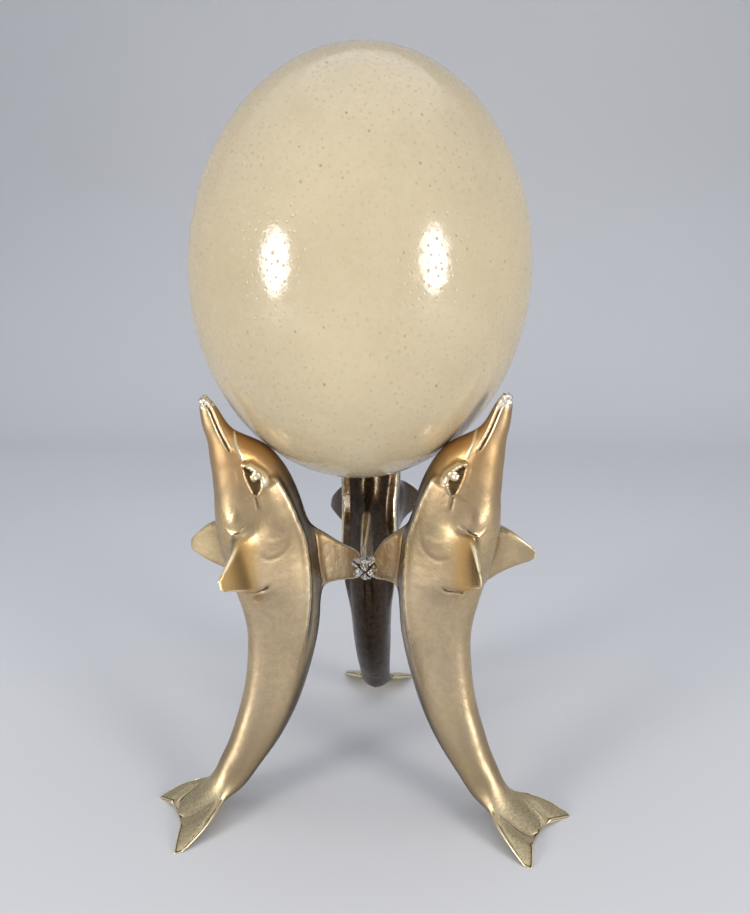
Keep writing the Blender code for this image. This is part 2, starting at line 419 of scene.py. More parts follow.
def work_line(clay, stops, profile, reach, fade=(0.08, 0.08), inward=(-1.0, 0.0, 0.0), dirt_and_shade=0.0,
              painted_highlight=0.0):
    """Raises the skin on both sides along a line, by a profile of the distance across it.

    The distance counts as positive on the side that lies towards inward. Painted shade and grime
    stay in the line, or a painted highlight runs along it.
    """
    for side in (1, -1):
        line, facing = laid_line(clay, mirrored(stops, side))
        low, high = line.min(0) - reach, line.max(0) + reach
        near = np.flatnonzero(np.all((clay.points > low) & (clay.points < high), axis=1))
        gaps = np.linalg.norm(clay.points[near][:, None] - line[None], axis=2)
        closest = gaps.argmin(axis=1)
        distance = gaps[np.arange(len(near)), closest]
        tangents = np.gradient(line, axis=0)
        across = np.cross(facing, tangents)
        across *= np.sign(across @ np.array(inward))[:, None]
        reached = clay.points[near] - line[closest]
        sign = np.sign(np.einsum("ij,ij->i", reached, across[closest]))
        same_side = np.einsum("ij,ij->i", clay.normals[near], facing[closest]) > 0.1
        share = closest / (len(line) - 1)
        strength = ramp(share, -1e-6, fade[0] + 1e-6) * ramp(share, 1 + 1e-6, 1 - fade[1] - 1e-6)
        strength = strength * same_side * ramp(distance, reach, reach * 0.75)
        clay.rise[near] += profile(distance * sign) * strength
        # Painted shade and grime stay in the line.
        clay.dirt_and_shade[near] = np.maximum(clay.dirt_and_shade[near], dirt_and_shade * hump(distance, 0.5) * strength)
        # A painted highlight along the line.
        clay.painted_highlight[near] = np.maximum(clay.painted_highlight[near], painted_highlight * hump(distance, 0.8) * strength)


def groove(depth, width, lip=0.0):
    """A groove, which may have a raised lip on its inner side."""
    def profile(offset):
        return lip * hump(offset - 1.9 * width, width) - depth * hump(offset, width)
    return profile


def ledge(height, width, fall):
    """A step up to the inner side, which dies away over the fall."""
    def profile(offset):
        step = (1 + np.tanh(offset / width)) / 2
        return height * step * np.exp(-np.maximum(offset, 0) / fall)
    return profile


def keel(height, half_width, edge, hollow, shelf):
    """A flat-topped rib with a hollow along its inner side, on the corner of a flat flank."""
    def profile(offset):
        top = height * (1 + np.tanh((half_width - np.abs(offset)) / edge)) / 2
        flat = np.where(offset < 0, hump(offset, 8.0), hump(offset, 2.6))
        return top + shelf * flat - hollow * hump(offset - 3.1, 1.5)
    return profile


def swell(clay, place, radius, height):
    """A smooth swelling on both sides."""
    for side in (1, -1):
        centre, facing = clay.nearest(place, side)
        distance = np.linalg.norm(clay.points - centre, axis=1)
        ahead = clay.normals @ facing > 0
        clay.rise += height * hump(distance, radius) * ahead


def eye_place(clay, side):
    """Each point's share of the way along the eye, its height over it, and if it is close by."""
    front, _ = clay.nearest(EYE_FRONT, side)
    rear, _ = clay.nearest(EYE_REAR, side)
    _, facing = clay.nearest((front + rear) / 2)
    span = np.linalg.norm(rear - front)
    length = (rear - front) / span
    across = unit(np.cross(facing, length))
    across *= -np.sign(across[0])
    reached = clay.points - front
    close = (np.linalg.norm(reached, axis=1) < 20) & (clay.normals @ facing > 0.2)
    return reached @ length / span, reached @ across, close


def work_brow(clay, share, beyond, close):
    """A bevel that falls away from the upper lid, with a painted highlight along the lid."""
    held = np.clip(share, 0, 1)
    height = BROW_HEIGHT[0] + (BROW_HEIGHT[1] - BROW_HEIGHT[0]) * held
    width = BROW_WIDTH[0] + (BROW_WIDTH[1] - BROW_WIDTH[0]) * held
    bevel = np.clip(1 - beyond / width, 0, 1) ** 1.1 * ramp(beyond, -0.7, 0.0)
    clay.rise += height * bevel * ramp(share, -0.10, 0.10) * ramp(share, 1.0, 0.72) * close
    band = ramp(beyond, -0.6, -0.1) * ramp(beyond, 3.0, 2.0)
    band *= ramp(share, -0.02, 0.06) * ramp(share, 0.9, 0.7)
    # Painted highlight: a bright band along the upper lid.
    clay.add_painted_highlight(0.9 * band * close)


def work_eye(clay, side):
    """A leaf-shaped socket under an arched upper lid, with a brow over it and a round eyeball."""
    share, offset, close = eye_place(clay, side)
    held = np.clip(share, 0, 1)
    upper = UPPER_LID * np.sin(math.pi * held ** 1.3)
    lower = -LOWER_LID * np.sin(math.pi * held)
    level = np.abs(offset - (upper + lower) / 2) / np.maximum((upper - lower) / 2, 0.2)
    ends = ramp(share, 0.0, 0.10) * ramp(share, 1.0, 0.92)
    socket = ramp(level, 1.0, 0.66) * ends * close
    crumple = SOCKET_CRUMPLE * noise_at(clay.points, 1.3, 31)
    ball, _ = clay.nearest(EYEBALL, side)
    dome = np.linalg.norm(clay.points - ball, axis=1) / EYEBALL_RADIUS
    inner_fold = 0.40 * hump(offset - upper + 1.0, 0.32) * ramp(share, 0.52, 0.68)
    lower_lid = 0.26 * hump(offset - lower + 0.40, 0.40)
    along = ramp(share, -0.06, 0.10) * ramp(share, 1.04, 0.86)
    clay.rise -= (SOCKET_DEPTH + crumple) * socket
    clay.rise += EYEBALL_HEIGHT * np.sqrt(1 - np.clip(dome, 0, 1) ** 2) * close
    clay.rise += (inner_fold * ends + lower_lid * along) * close
    # Painted highlight on the eyeball.
    clay.add_painted_highlight(ramp(dome, 1.0, 0.8) * close)
    # Painted shade and grime in the socket round the eyeball.
    clay.dirt_and_shade = np.maximum(clay.dirt_and_shade, socket * ramp(dome, 0.92, 1.12))
    work_brow(clay, share, offset - upper, close)


def work_shoulder(clay):
    """A low disc at each flipper's root, with a crease round its rear and lower edge."""
    for side in (1, -1):
        centre, facing = clay.nearest(SHOULDER, side)
        reached = clay.points - centre
        distance = np.hypot(reached[:, 0], reached[:, 2])
        ahead = (clay.points[:, 1] * side > 3) * (clay.normals @ facing > 0.1)
        downward = ramp(-reached[:, 2] / np.maximum(distance, 0.1), -0.75, 0.1)
        forward = ramp(reached[:, 0], 7.0, 2.0)
        edge = distance - SHOULDER_RADIUS
        disc = 0.14 * ramp(edge, 0.5, -1.6)
        crease = 0.10 * hump(edge - 0.6, 0.55)
        clay.rise += (disc - crease) * downward * forward * ahead


def noise_at(points, scale, seed):
    """Smooth noise from -1 to 1 at each point, with a grain of one over scale."""
    shift = Vector((seed * 3.1, seed * 7.7, seed * 1.9))
    return np.array([noise.noise(Vector(point) * scale + shift) for point in points.tolist()])


def work_beak_tip(clay):
    """The cast end of the beak, left rough and nicked."""
    tip = ramp(clay.points[:, 2], 154.0, 157.5)
    clay.rise += tip * 0.28 * noise_at(clay.points, 0.9, 3)
    clay.rise += tip * 0.16 * noise_at(clay.points, 2.1, 5)


def drawn_tight(mesh, points, where, rounds):
    """The points with an area drawn tight between its edges, which flattens its ridges."""
    edges = mesh_edges(mesh)
    normals = read_normals(mesh)
    smooth = points.copy()
    for _ in range(rounds):
        mean = np.stack([neighbour_mean(smooth[:, i], edges, len(points)) for i in range(3)], axis=1)
        smooth += (mean - smooth) * (where > 0)[:, None]
    lift = np.einsum("ij,ij->i", smooth - points, normals) * where
    return points + normals * lift[:, None]


def fluke_tops(mesh, points):
    """How far each point belongs to the flat upper faces of the flukes."""
    top = ramp(read_normals(mesh) @ FLUKE_UP, -0.10, 0.20)
    area = top * ramp(points[:, 2], 21.0, 14.0) * (points[:, 0] > 54)
    area = area * ramp(bend_of(mesh, points), 0.60, 0.30)
    for _ in range(6):
        area = neighbour_mean(area, mesh_edges(mesh), len(points))
    return area


def sculpted_dolphin():
    """The pattern that all three dolphins were cast from: its mesh and the worked clay."""
    mesh = smooth_skin(*dolphin_cage(), SKIN_LEVELS)
    plain = read_points(mesh)
    write_points(mesh, drawn_tight(mesh, plain, fluke_tops(mesh, plain), FLUKE_ROUNDS))
    clay = Clay(mesh)
    work_line(clay, FOREHEAD_CREASE, ledge(0.22, 0.32, 2.5), 6.0, fade=(0.2, 0.12))
    # Painted highlight along the forehead crease.
    work_line(clay, FOREHEAD_CREASE, groove(-0.26, 0.34), 2.0, fade=(0.2, 0.12), painted_highlight=0.7)
    # Painted shade and grime stay in the mouth, the eye's tail, the folds, the notch and the fin's
    # foot.
    work_line(clay, MOUTH, groove(0.60, 0.50, 0.26), 3.0, fade=(0.04, 0.16), dirt_and_shade=0.6)
    work_line(clay, EYE_TAIL, groove(0.40, 0.42, 0.40), 2.5, fade=(0.05, 0.35), dirt_and_shade=0.7)
    work_line(clay, JAW_FOLD, ledge(0.20, 0.30, 1.6), 4.0, fade=(0.3, 0.3))
    # Painted highlight along the keel.
    work_line(clay, FLANK_KEEL, keel(0.36, 0.75, 0.24, 0.30, 2.3), 16.0,
              fade=(0.05, 0.40), painted_highlight=1.0)
    work_line(clay, THROAT_FOLD, groove(0.13, 0.45, 0.24), 3.0, fade=(0.35, 0.4),
              inward=(0.0, 0.0, -1.0), dirt_and_shade=0.1)
    work_line(clay, FLIPPER_NOTCH, groove(0.90, 0.70), 4.0, fade=(0.25, 0.25), dirt_and_shade=1.0)
    work_line(clay, FIN_FOOT, groove(0.30, 0.50, 0.06), 2.5, fade=(0.12, 0.12), dirt_and_shade=0.4)
    swell(clay, THROAT_BULGE, radius=3.2, height=0.70)
    work_shoulder(clay)
    for side in (1, -1):
        work_eye(clay, side)
    work_beak_tip(clay)
    return mesh, clay


# -------- marks that the finish reads

def mesh_edges(mesh):
    edges = np.empty(len(mesh.edges) * 2, np.int32)
    mesh.edges.foreach_get("vertices", edges)
    return edges.reshape(-1, 2)


def neighbour_mean(values, edges, count):
    """Each point's mean over its neighbours."""
    total = np.bincount(edges[:, 0], values[edges[:, 1]], count)
    total += np.bincount(edges[:, 1], values[edges[:, 0]], count)
    return total / np.maximum(np.bincount(edges.ravel(), minlength=count), 1)


def bend_of(mesh, points):
    """How sharply the surface bends at each point, per millimetre: above 0 on edges."""
    normals = read_normals(mesh)
    edges = mesh_edges(mesh)
    count = len(points)
    way = points[edges[:, 1]] - points[edges[:, 0]]
    square = np.maximum(np.einsum("ij,ij->i", way, way), 1e-6)
    first = -np.einsum("ij,ij->i", way, normals[edges[:, 0]]) / square
    second = np.einsum("ij,ij->i", way, normals[edges[:, 1]]) / square
    total = np.bincount(edges[:, 0], first, count) + np.bincount(edges[:, 1], second, count)
    bend = 2 * total / np.maximum(np.bincount(edges.ravel(), minlength=count), 1)
    for _ in range(3):
        bend = 0.5 * bend + 0.5 * neighbour_mean(bend, edges, count)
    return bend


def paint(mesh, name, values):
    """Stores one number, or one vector, for each point, which the materials read by name."""
    kind = "FLOAT_VECTOR" if np.ndim(values) == 2 else "FLOAT"
    field = "vector" if kind == "FLOAT_VECTOR" else "value"
    layer = mesh.attributes.new(name, kind, "POINT")
    layer.data.foreach_set(field, np.asarray(values, np.float32).ravel())


def paint_brass(mesh, local, points, clay, normals, placing):
    """Marks edges worn bright with painted highlights, hollows with grime and painted shade, rough
    fins, the beak's tip, painted shade on the inner side and on duller areas, a painted sheen on the
    torso and a painted reflection on the flippers' outer faces.
    """
    bend = bend_of(mesh, points)
    # Edges worn bright, with the painted highlights of the lines, the brow and the eyeball.
    paint(mesh, "edge", np.maximum(ramp(bend, 0.16, 0.62), clay.painted_highlight))
    # Painted shade and grime in hollows, grooves and the eye sockets.
    paint(mesh, "hollow", np.maximum(ramp(-bend, 0.05, 0.40) * 0.8, clay.dirt_and_shade))
    x, y, z = local.T
    outward = np.sign(y) * normals[:, 1]
    flipper = ramp(np.abs(y), 12.2, 13.6) * (z > 60) * ramp(x, 45.0, 51.0)
    outer = ramp(-0.65 * normals[:, 0] + 0.73 * outward, -0.2, 0.3)
    fluke = ramp(z, 18.0, 9.0) * ramp(x, 56.0, 66.0)
    # Painted reflection on the flippers' outer faces.
    paint(mesh, "golden_reflection", flipper * outer)
    paint(mesh, "rough_cast", np.maximum(fluke, 0.4 * flipper * (1 - outer)))
    paint(mesh, "tip", ramp(z, 153.8, 156.5))
    paint(mesh, "forehead", hump(np.linalg.norm((local - (47, 0, 142)) / (1, 1.1, 1.2), axis=1), 13))
    # Painted shade on the side that faces the stand's axis, beyond the keel; on the back dolphin it
    # reaches further round.
    start = placing.bare - 0.25 * ramp(z, 70.0, 40.0)
    inner = ramp(-normals[:, 0] - start, 0.0, 0.32) * ramp(z, 136.0, 124.0)
    inner = inner * ramp(x, 16.5, 18.5) * placing.darkness
    paint(mesh, "inner", inner)
    unshaded = 1 - inner
    # Painted shade, with a duller finish, on the flank, the face, the tail and the flippers' inner
    # faces.
    flank = hump(np.hypot((x - 38) / 11, (z - 112) / 15), 1.0)
    flank = flank * ramp(outward, 0.6, 0.85) * unshaded
    face = 0.55 * ramp(z, 116.0, 128.0)
    tail = 0.55 * ramp(z, 48.0, 26.0) * (1 - fluke)
    paint(mesh, "matt_and_shade", np.maximum.reduce([flank, face, tail, 0.75 * flipper * (1 - outer)]))
    # A painted sheen along the outer side of the torso.
    torso = ramp(z, 104.0, 86.0) * ramp(z, 16.0, 34.0)
    paint(mesh, "pale", torso * ramp(outward, 0.1, 0.7) * unshaded)
    paint(mesh, "lay", local * MM)


# -------- pieces

def add_piece(name, mesh, material, node):
    piece = new_object(name, mesh)
    mesh.materials.clear()
    mesh.materials.append(material)
    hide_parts(node)
    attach(piece, BODY)
    return piece


def egg_gap(points):
    """Each point's distance from the shell, and the way towards it; points in stand millimetres."""
    inside = (points - EGG_CENTRE) @ EGG_TURN
    width = 1 + EGG_TAPER * inside[:, 2] / EGG_HALF_LENGTH
    half = EGG_HALF * np.stack([width, width, np.ones(len(points))], axis=1)
    level = np.linalg.norm(inside / half, axis=1)
    slope = inside / half ** 2 / level[:, None]
    steep = np.linalg.norm(slope, axis=1)
    return (level - 1) / steep, -(slope / steep[:, None]) @ EGG_TURN.T


def seat_egg(points):
    """Lets the forehead swell by the hair's breadth that brings it up to the shell."""
    gap, way = egg_gap(points)
    closest = gap.argmin()
    distance = np.linalg.norm(points - points[closest], axis=1)
    push = (gap[closest] - 0.05) * hump(distance, 6.0)
    return points + way[closest] * push[:, None]


def turn_about_axis(points, bearing):
    angle = math.radians(bearing)
    turn = np.array(Matrix.Rotation(angle, 3, "Z"))
    return points @ turn.T


def add_dolphins(brass):
    pattern, clay = sculpted_dolphin()
    worked = clay.points + clay.normals * clay.rise[:, None]
    for seed, (name, placing) in enumerate(PLACINGS.items(), start=1):
        mesh = pattern.copy()
        mesh.name = name
        write_points(mesh, worked)
        normals = read_normals(mesh)
        hand = 0.10 * noise_at(worked, 0.11, seed * 5) + 0.035 * noise_at(worked, 0.35, seed * 9)
        local = worked + normals * hand[:, None]
        local = local * (1, 1, placing.height)
        local[:, 0] -= placing.fin_reach * ramp(local[:, 0], 12.0, 3.0)
        local[:, 2] = np.maximum(local[:, 2], 0)
        placed = seat_egg(turn_about_axis(local, placing.bearing))
        write_points(mesh, placed)
        paint_brass(mesh, local, placed, clay, normals, placing)
        write_points(mesh, (placed + (*STAND_AXIS, 0)) * MM)
        mesh.shade_smooth()
        add_piece(name + "_cast", mesh, brass, name)
    bpy.data.meshes.remove(pattern)


def pit_directions(random):
    """Where the pits lie on a unit ball: spread like seeds on a head, then shaken."""
    step = np.arange(PIT_COUNT)
    height = 1 - 2 * (step + 0.5) / PIT_COUNT
    around = step * GOLDEN_ANGLE
    wide = np.sqrt(1 - height ** 2)
    places = np.stack([wide * np.cos(around), wide * np.sin(around), height], axis=1)
    spacing = math.sqrt(4 * math.pi / PIT_COUNT)
    places += random.uniform(-1, 1, places.shape) * spacing * PIT_SHAKE
    places[0] = (0, 0, 1)
    return unit(places)


def on_shell(directions):
    """The points of the plain shell in these directions, in the egg's own millimetres."""
    width = EGG_HALF_WIDTH * (1 + EGG_TAPER * directions[:, 2])
    return directions * np.stack([width, width, np.full(len(width), EGG_HALF_LENGTH)], axis=1)


def shell_normals(directions):
    return unit(directions / EGG_HALF)


def pit_corners(places, radii, random):
    """Directions of each pit's middle, floor ring and brim ring, pit by pit."""
    normals = shell_normals(places)
    upright = np.where(np.abs(normals[:, 2:]) < 0.9, (0.0, 0.0, 1.0), (1.0, 0.0, 0.0))
    east = unit(np.cross(upright, normals))
    north = np.cross(normals, east)
    middle = on_shell(places)
    start = random.uniform(0, 2 * math.pi, len(places))
    rows = [middle]
    for share, offset in ((PIT_FLOOR_SHARE, 0.5), (1.0, 0.0)):
        for corner in range(PIT_CORNERS):
            angle = start + (corner + offset) * 2 * math.pi / PIT_CORNERS
            reach = radii * share
            rows.append(middle + east * (np.cos(angle) * reach * 0.88)[:, None]
                        + north * (np.sin(angle) * reach * 1.12)[:, None])
    return unit(np.stack(rows, axis=1) / EGG_HALF)


def ball_faces(directions):
    """Triangles between points of a unit ball, the first of which is its upper pole."""
    rest = directions[1:]
    flat = rest[:, :2] / (1 - rest[:, 2:])
    joined = delaunay_2d_cdt([Vector(place) for place in flat.tolist()], [], [], 0, 1e-9, False)
    faces = np.array([face for face in joined[2]], np.int64) + 1
    sides = np.concatenate([faces[:, [0, 1]], faces[:, [1, 2]], faces[:, [2, 0]]])
    known = {tuple(side) for side in sides.tolist()}
    open_sides = [side for side in known if (side[1], side[0]) not in known]
    cap = np.array([[0, second, first] for first, second in sorted(open_sides)])
    return np.concatenate([faces, cap])


def add_egg(shell):
    """The shell, with a real dimple at every pit."""
    random = np.random.default_rng(SEED)
    places = pit_directions(random)
    radii = random.uniform(*PIT_RADIUS, PIT_COUNT)
    directions = pit_corners(places, radii, random)
    depth = radii * random.uniform(*PIT_STEEPNESS, PIT_COUNT)
    lowered = np.zeros(directions.shape[:2])
    lowered[:, 0] = depth
    lowered[:, 1:1 + PIT_CORNERS] = depth[:, None] * 0.86
    soil = np.zeros(directions.shape[:2])
    soil[:, :1 + PIT_CORNERS] = (random.uniform(0, 1, PIT_COUNT) ** 40)[:, None]
    directions = directions.reshape(-1, 3)
    points = on_shell(directions)
    normals = shell_normals(directions)
    waves = sum(height * noise_at(points, scale, 11) for scale, height in SHELL_WAVES)
    faces = ball_faces(directions)
    mesh = bpy.data.meshes.new("egg")
    plain = (points + normals * waves[:, None]) @ EGG_TURN.T + EGG_CENTRE + (*STAND_AXIS, 0)
    mesh.from_pydata((plain * MM).tolist(), [], faces.tolist())
    mesh.update()
    mesh.shade_smooth()
    smooth = read_normals(mesh)
    write_points(mesh, (plain - (normals @ EGG_TURN.T) * lowered.ravel()[:, None]) * MM)
    sunk = (lowered > 0).ravel()
    smooth[sunk] = read_normals(mesh)[sunk]
    mesh.normals_split_custom_set_from_vertices(smooth.tolist())
    paint(mesh, "pit", sunk.astype(float))
    paint(mesh, "soil", soil.ravel())
    add_piece("egg_shell", mesh, shell, "egg")


def add_joint(solder):
    """A crumpled bead of braze with folds that cross, lapping over the back fins' tips."""
    mesh = bpy.data.meshes.new("fin_joint")
    shape = bmesh.new()
    bmesh.ops.create_icosphere(shape, subdivisions=JOINT_LEVELS, radius=1.0)
    shape.to_mesh(mesh)
    shape.free()
    ways = read_points(mesh)
    drop = ways[:, 2] + 0.22
    folds = np.maximum(hump(drop - 1.05 * ways[:, 0], 0.13), hump(drop + 1.05 * ways[:, 0], 0.13))
    wings = sum(
        np.clip(ways @ unit(np.array(way)), 0, 1) ** 16 * height
        for way, height in (((-1.0, -0.15, 0.62), 0.80), ((0.75, -0.2, 0.85), 0.55),
                            ((0.8, -0.2, -0.75), 0.30), ((-0.9, -0.2, -0.5), 0.22)))
    crumple = 0.22 * noise_at(ways, 1.9, 21) + 0.03 * noise_at(ways, 4.6, 22)
    creased = 0.16 * (1 - np.abs(noise_at(ways, 2.1, 23)) * 4).clip(0, 1)
    size = 1 + crumple + wings - creased - 0.26 * folds
    points = ways * size[:, None] * (JOINT_RADIUS, JOINT_RADIUS, JOINT_HALF_HEIGHT)
    points = points + JOINT_CENTRE
    write_points(mesh, points)
    bend = bend_of(mesh, points)
    paint(mesh, "edge", ramp(bend, 0.2, 1.2))
    # Painted shade and grime in the braze's hollows and folds.
    paint(mesh, "hollow", np.maximum(ramp(-bend, 0.3, 1.4), folds))
    write_points(mesh, (points + (*STAND_AXIS, 0)) * MM)
    mesh.shade_smooth()
    add_piece("fin_braze", mesh, solder, "fin_joint")


# -------- materials

class Board:
    """A node tree that nodes are put on and joined up."""

    def __init__(self, tree):
        self.tree = tree

    def put(self, kind, settings=(), **inputs):
        """A node with its settings; each input takes a number, a colour or another node's socket."""
        made = self.tree.nodes.new(kind)
        for name, value in dict(settings).items():
            setattr(made, name, value)
        self.feed(made, **inputs)
        return made

    def feed(self, node, **inputs):
        """Sets a node's inputs, which go by their names or, after a _, by their numbers."""
        for name, value in inputs.items():
            label = int(name[1:]) if name[0] == "_" else name.replace("_", " ")
            if isinstance(value, bpy.types.NodeSocket):
                self.tree.links.new(value, node.inputs[label])
            else:
                node.inputs[label].default_value = value

    def maths(self, operation, first, second=0.0, third=0.0):
        made = self.put("ShaderNodeMath", {"operation": operation}, _0=first, _1=second, _2=third)
        return made.outputs[0]

    def times(self, first, second):
        return self.maths("MULTIPLY", first, second)

    def spread(self, value, low, high, to_low=0.0, to_high=1.0):
        made = self.put("ShaderNodeMapRange", {"interpolation_type": "SMOOTHSTEP"}, Value=value,
                        From_Min=low, From_Max=high, To_Min=to_low, To_Max=to_high)
        return made.outputs["Result"]

    def blend(self, share, first, second):
        made = self.put("ShaderNodeMix", {"data_type": "RGBA"}, _0=share, _6=first, _7=second)
        return made.outputs[2]

    def layer(self, under, mask, strength, tint):
        """A tint laid over what is under it, where the mask lies."""
        return self.blend(self.times(mask, strength), under, (*tint, 1))

    def add_up(self, start, *terms):
        """The start with each term, a mask and its share, added to it."""
        total = start
        for mask, share in terms:
            total = self.maths("MULTIPLY_ADD", mask, share, total)
        return total

    def mark(self, name):
        """A number that the mesh holds for each point."""
        made = self.put("ShaderNodeAttribute", {"attribute_name": name})
        return made.outputs["Fac"]

    def cloud(self, place, scale, detail=3.0, rough=0.5):
        made = self.put("ShaderNodeTexNoise", Vector=place, Scale=scale, Detail=detail,
                        Roughness=rough)
        return made.outputs["Fac"]


NUMBER = "NodeSocketFloat"
VECTOR = "NodeSocketVector"


def new_group(name, inputs, outputs):
    """An effect that several finishes use, with a place and named inputs."""
    tree = bpy.data.node_groups.new(name, "ShaderNodeTree")
    tree.interface.new_socket("Place", in_out="INPUT", socket_type=VECTOR)
    for label, value in inputs.items():
        kind = VECTOR if isinstance(value, tuple) else NUMBER
        socket = tree.interface.new_socket(label, in_out="INPUT", socket_type=kind)
        socket.default_value = value
    for label in outputs:
        tree.interface.new_socket(label, in_out="OUTPUT", socket_type=NUMBER)
    board = Board(tree)
    return board, tree.nodes.new("NodeGroupInput").outputs, tree.nodes.new("NodeGroupOutput").inputs


def mottling_group():
    """Soft patches, such as patina or the clouding of a shell."""
    board, given, result = new_group(
        "mottling", {"Scale": 60.0, "Low": 0.4, "High": 0.6, "Grit": 0.5}, ["Mask"])
    broad = board.cloud(given["Place"], given["Scale"], 4.0, given["Grit"])
    mask = board.spread(broad, given["Low"], given["High"])
    board.tree.links.new(mask, result["Mask"])
    return board.tree


def rubbing_group():
    """Fine marks of polishing that run along a piece, broken up into short strokes."""
    board, given, result = new_group(
        "rubbing marks", {"Stretch": (1.0, 1.0, 0.1), "Scale": 2000.0}, ["Height", "Mask"])
    pulled = board.put("ShaderNodeVectorMath", {"operation": "MULTIPLY"}, _0=given["Place"],
                       _1=given["Stretch"]).outputs[0]
    strokes = board.cloud(pulled, given["Scale"], 2.0, 0.6)
    where = board.spread(board.cloud(given["Place"], 140.0, 2.0), 0.45, 0.62)
    board.tree.links.new(strokes, result["Height"])
    lines = board.spread(strokes, 0.58, 0.66)
    board.tree.links.new(board.times(lines, where), result["Mask"])
    return board.tree


def specks_group():
    """Small scattered spots: casting pits, flecks of patina or grime."""
    board, given, result = new_group(
        "specks", {"Scale": 900.0, "Size": 0.25, "Share": 0.5}, ["Mask"])
    cells = board.put("ShaderNodeTexVoronoi", Vector=given["Place"], Scale=given["Scale"])
    spot = board.spread(cells.outputs["Distance"], given["Size"], 0.0)
    chosen = board.put("ShaderNodeSeparateColor", Color=cells.outputs["Color"]).outputs[0]
    kept = board.maths("LESS_THAN", chosen, given["Share"])
    board.tree.links.new(board.times(spot, kept), result["Mask"])
    return board.tree


def wear_and_painted_light_group():
    """Edges worn bright with painted highlights, and hollows with grime and painted shade, both
    broken up by noise.
    """
    board, given, result = new_group(
        "edge marks and painted light", {"Breakup": 0.5, "Scale": 700.0}, ["Edges and highlights", "Hollows and shade"])
    rough = board.cloud(given["Place"], given["Scale"], 4.0, 0.6)
    bite = board.times(board.maths("SUBTRACT", rough, 0.5), given["Breakup"])
    for label, mark in (("Edges and highlights", "edge"), ("Hollows and shade", "hollow")):
        value = board.maths("ADD", board.mark(mark), bite)
        board.tree.links.new(board.spread(value, 0.15, 0.7), result[label])
    return board.tree


def use_group(board, tree, **inputs):
    return board.put("ShaderNodeGroup", {"node_tree": tree}, **inputs).outputs


def mottle(board, groups, place, scale, low, high, grit):
    """The mask of the mottling group."""
    made = use_group(board, groups["mottling"], Place=place, Scale=scale, Low=low, High=high,
                     Grit=grit)
    return made["Mask"]


def new_finish(name):
    """A material with its shader ready: the board, the shader and the object's coordinates."""
    material = bpy.data.materials.new(name)
    material.use_nodes = True
    board = Board(material.node_tree)
    shader = material.node_tree.nodes["Principled BSDF"]
    place = board.put("ShaderNodeTexCoord").outputs["Object"]
    return material, board, shader, place


BRASS = (0.60, 0.45, 0.24)
BROWNED_BRASS = (0.50, 0.37, 0.23)
# Painted sheen
PAINTED_SHEEN_BRASS = (0.72, 0.58, 0.40)
# Painted shade on duller areas
SHADED_DULL_BRASS = (0.22, 0.175, 0.11)
CLOUDED_BRASS = (0.38, 0.28, 0.17)
ORANGE_BRASS = (0.62, 0.33, 0.10)
# Painted reflection on the flippers' outer faces
PAINTED_REFLECTION_GOLD = (0.50, 0.31, 0.11)
# Painted shade on the inner side
PAINTED_SHADE_BRASS = (0.030, 0.015, 0.006)
CAST_BRASS = (0.66, 0.55, 0.34)
GRIT = (0.33, 0.26, 0.14)
FLECKS = (0.20, 0.15, 0.09)
# Edges worn bright, and painted highlights
WORN_AND_HIGHLIGHT_BRASS = (0.90, 0.78, 0.52)
# Painted shade and grime in hollows
GRIME_AND_SHADE = (0.060, 0.038, 0.018)
SILVERED_BRASS = (0.78, 0.74, 0.68)


